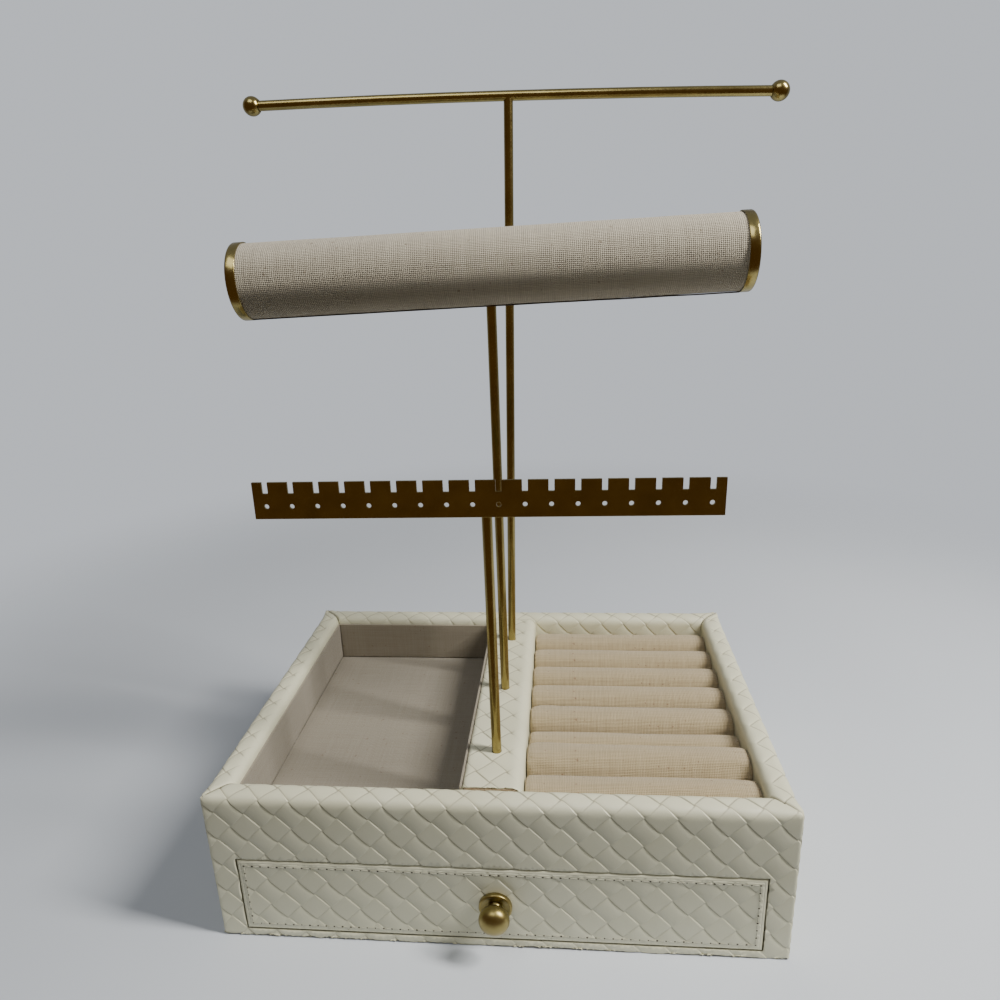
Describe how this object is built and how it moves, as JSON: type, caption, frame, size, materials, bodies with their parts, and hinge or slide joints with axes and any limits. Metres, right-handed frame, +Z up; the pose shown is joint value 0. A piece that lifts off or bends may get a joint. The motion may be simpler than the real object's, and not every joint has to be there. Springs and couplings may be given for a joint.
{
  "type": "jewelry stand with drawer",
  "caption": "Leather-covered jewelry box base with a lined tray, ring rolls and a drawer, under brass posts carrying a necklace bar, a bracelet roll and a slotted earring plate.",
  "frame": {"origin": "middle of the base box's underside, on the table", "axes": "+X to the right, -Y out of the drawer's front, +Z up"},
  "size_m": [0.2595, 0.1897, 0.3663],
  "materials": {
    "cream_leather": "satin, embossed as a diagonal basket weave",
    "tray_linen": "plain-woven natural linen on card",
    "ring_linen": "plain-woven natural linen over foam",
    "roll_linen": "plain-woven natural linen over thin padding",
    "satin_brass": "satin, lacquered",
    "zinc_steel": "zinc plated",
    "seam_tape": "woven tape",
    "bottom_felt": "pressed felt",
    "fibreboard": "medium-density fibreboard, raw"
  },
  "bodies": {
    "base_box": {"back_panel": "fibreboard", "base_board": "fibreboard", "bottom_cover": "bottom_felt", "divider_core": "fibreboard", "divider_leather": "cream_leather", "front_rail": "fibreboard", "leather_back": "cream_leather", "leather_front": "cream_leather", "leather_left": "cream_leather", "leather_right": "cream_leather", "left_panel": "fibreboard", "post_inserts": "zinc_steel", "right_panel": "fibreboard", "ring_roll_1": "ring_linen", "ring_roll_2": "ring_linen", "ring_roll_3": "ring_linen", "ring_roll_4": "ring_linen", "ring_roll_5": "ring_linen", "ring_roll_6": "ring_linen", "ring_roll_7": "ring_linen", "ring_roll_8": "ring_linen", "ring_tray_card": "tray_linen", "tray_deck": "fibreboard", "tray_floor_liner": "tray_linen", "tray_liner_back": "tray_linen", "tray_liner_front": "tray_linen", "tray_liner_left": "tray_linen", "tray_liner_right": "tray_linen"},
    "bracelet_stand": {"bracelet_cap_left": "satin_brass", "bracelet_cap_right": "satin_brass", "bracelet_nut": "zinc_steel", "bracelet_post": "satin_brass", "bracelet_saddle": "zinc_steel", "bracelet_seam_tape": "seam_tape", "bracelet_sleeve": "roll_linen", "bracelet_tube": "zinc_steel"},
    "drawer": {"drawer_back": "fibreboard", "drawer_bottom": "fibreboard", "drawer_floor_liner": "tray_linen", "drawer_front_board": "fibreboard", "drawer_front_leather": "cream_leather", "drawer_liner_back": "tray_linen", "drawer_liner_front": "tray_linen", "drawer_liner_left": "tray_linen", "drawer_liner_right": "tray_linen", "drawer_side_left": "fibreboard", "drawer_side_right": "fibreboard", "knob": "satin_brass", "knob_rosette": "satin_brass", "knob_screw": "zinc_steel", "knob_washer": "zinc_steel"},
    "earring_stand": {"earring_plate": "satin_brass", "earring_post": "satin_brass"},
    "necklace_stand": {"necklace_ball_left": "satin_brass", "necklace_ball_right": "satin_brass", "necklace_bar": "satin_brass", "necklace_post": "satin_brass"}
  },
  "joints": [
    {"name": "drawer_slide", "type": "slide", "parent": "base_box", "child": "drawer", "axis": [0, -1, 0], "range_m": [0, 0.13]},
    {"name": "necklace_post_turn", "type": "hinge", "parent": "base_box", "child": "necklace_stand", "pos_m": [-0.0008, 0.0522, 0.0748], "axis": [0, 0, 1], "range_deg": [-90, 90]},
    {"name": "bracelet_post_turn", "type": "hinge", "parent": "base_box", "child": "bracelet_stand", "pos_m": [-0.0008, 0, 0.0748], "axis": [0, 0, 1], "range_deg": [-50, 50]},
    {"name": "earring_post_turn", "type": "hinge", "parent": "base_box", "child": "earring_stand", "pos_m": [-0.0008, -0.0522, 0.0748], "axis": [0, 0, 1], "range_deg": [-80, 80]}
  ]
}
